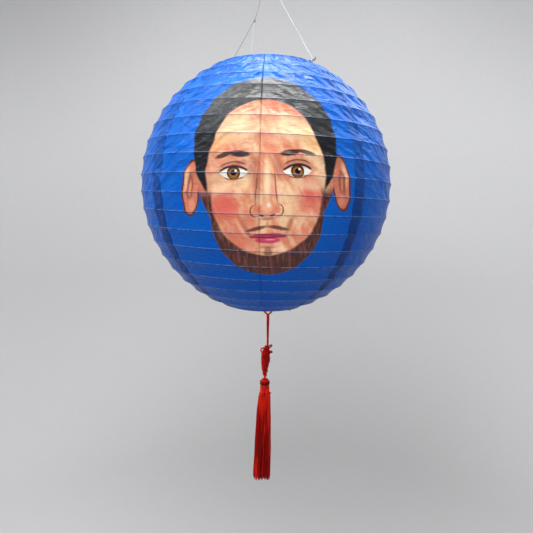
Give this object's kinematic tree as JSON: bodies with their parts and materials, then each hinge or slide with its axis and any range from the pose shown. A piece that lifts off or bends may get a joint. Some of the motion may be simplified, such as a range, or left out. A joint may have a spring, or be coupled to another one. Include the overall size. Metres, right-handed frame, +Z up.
{
  "type": "paper lantern",
  "caption": "Round printed paper lantern with a spiral wire rib and a bent wire expander, hung on a thread sling, with a red cord tassel below.",
  "frame": {"origin": "centre of the hanging ring's bore", "axes": "+Z up along the lantern's axis, +Y along the bore and away from the printed front, +X to the right seen from the front"},
  "size_m": [0.4, 0.4, 0.859],
  "materials": {
    "ring_steel": "polished",
    "wire_steel": "satin",
    "rib_wire": "satin",
    "nylon_thread": "satin",
    "printed_paper": "satin",
    "red_cord": "satin",
    "red_silk": "satin",
    "red_binding": "satin"
  },
  "bodies": {
    "hanger": {"hanging_ring": "ring_steel"},
    "loop": {"thread_loop": "nylon_thread"},
    "knot": {"top_knot": "nylon_thread"},
    "sling": {"thread_left": "nylon_thread", "thread_left_knot": "nylon_thread", "thread_tail": "nylon_thread", "thread_right_front": "nylon_thread", "thread_right_back": "nylon_thread"},
    "lantern": {"thread_tie_left": "nylon_thread", "thread_tie_right": "nylon_thread", "top_ring": "wire_steel", "expander": "wire_steel", "spiral_rib": "rib_wire", "paper_gore_1": "printed_paper", "paper_gore_2": "printed_paper", "paper_gore_3": "printed_paper", "paper_gore_4": "printed_paper", "paper_gore_5": "printed_paper", "paper_gore_6": "printed_paper", "paper_gore_7": "printed_paper", "paper_gore_8": "printed_paper"},
    "lower_ring": {"bottom_ring": "wire_steel"},
    "pendant": {"tassel_cord": "red_cord", "tassel_knot": "red_cord"},
    "tassel": {"tassel_neck": "red_cord", "tassel_stop_knot": "red_cord", "tassel_head": "red_silk", "tassel_binding": "red_binding", "tassel_skirt": "red_silk"}
  },
  "joints": [
    {"name": "side_swing", "type": "hinge", "parent": "hanger", "child": "loop", "pos_m": [0, 0, -0.0102], "axis": [0, 1, 0], "range_deg": [-30, 30]},
    {"name": "front_swing", "type": "hinge", "parent": "loop", "child": "knot", "pos_m": [0, 0, -0.0125], "axis": [1, 0, 0], "range_deg": [-30, 30]},
    {"name": "thread_twist", "type": "hinge", "parent": "knot", "child": "sling", "pos_m": [0, 0, -0.0216], "axis": [0, 0, 1], "range_deg": [-180, 180]},
    {"name": "lantern_rock", "type": "hinge", "parent": "sling", "child": "lantern", "pos_m": [0, 0, -0.1545], "axis": [0.866, -0.5, 0], "range_deg": [-15, 15]},
    {"name": "fold_up", "type": "slide", "parent": "lantern", "child": "lower_ring", "axis": [0, 0, 1], "range_m": [0, 0.345], "deforming": ["paper_gore_1", "paper_gore_2", "paper_gore_3", "paper_gore_4", "paper_gore_5", "paper_gore_6", "paper_gore_7", "paper_gore_8", "spiral_rib"]},
    {"name": "cord_swing", "type": "hinge", "parent": "lantern", "child": "pendant", "pos_m": [0.00572, -0.0033, -0.545], "axis": [0.866, -0.5, 0], "range_deg": [-30, 30]},
    {"name": "tassel_sway", "type": "hinge", "parent": "pendant", "child": "tassel", "pos_m": [0.0017, -0.0033, -0.6662], "axis": [0, 1, 0], "range_deg": [-25, 25]}
  ]
}
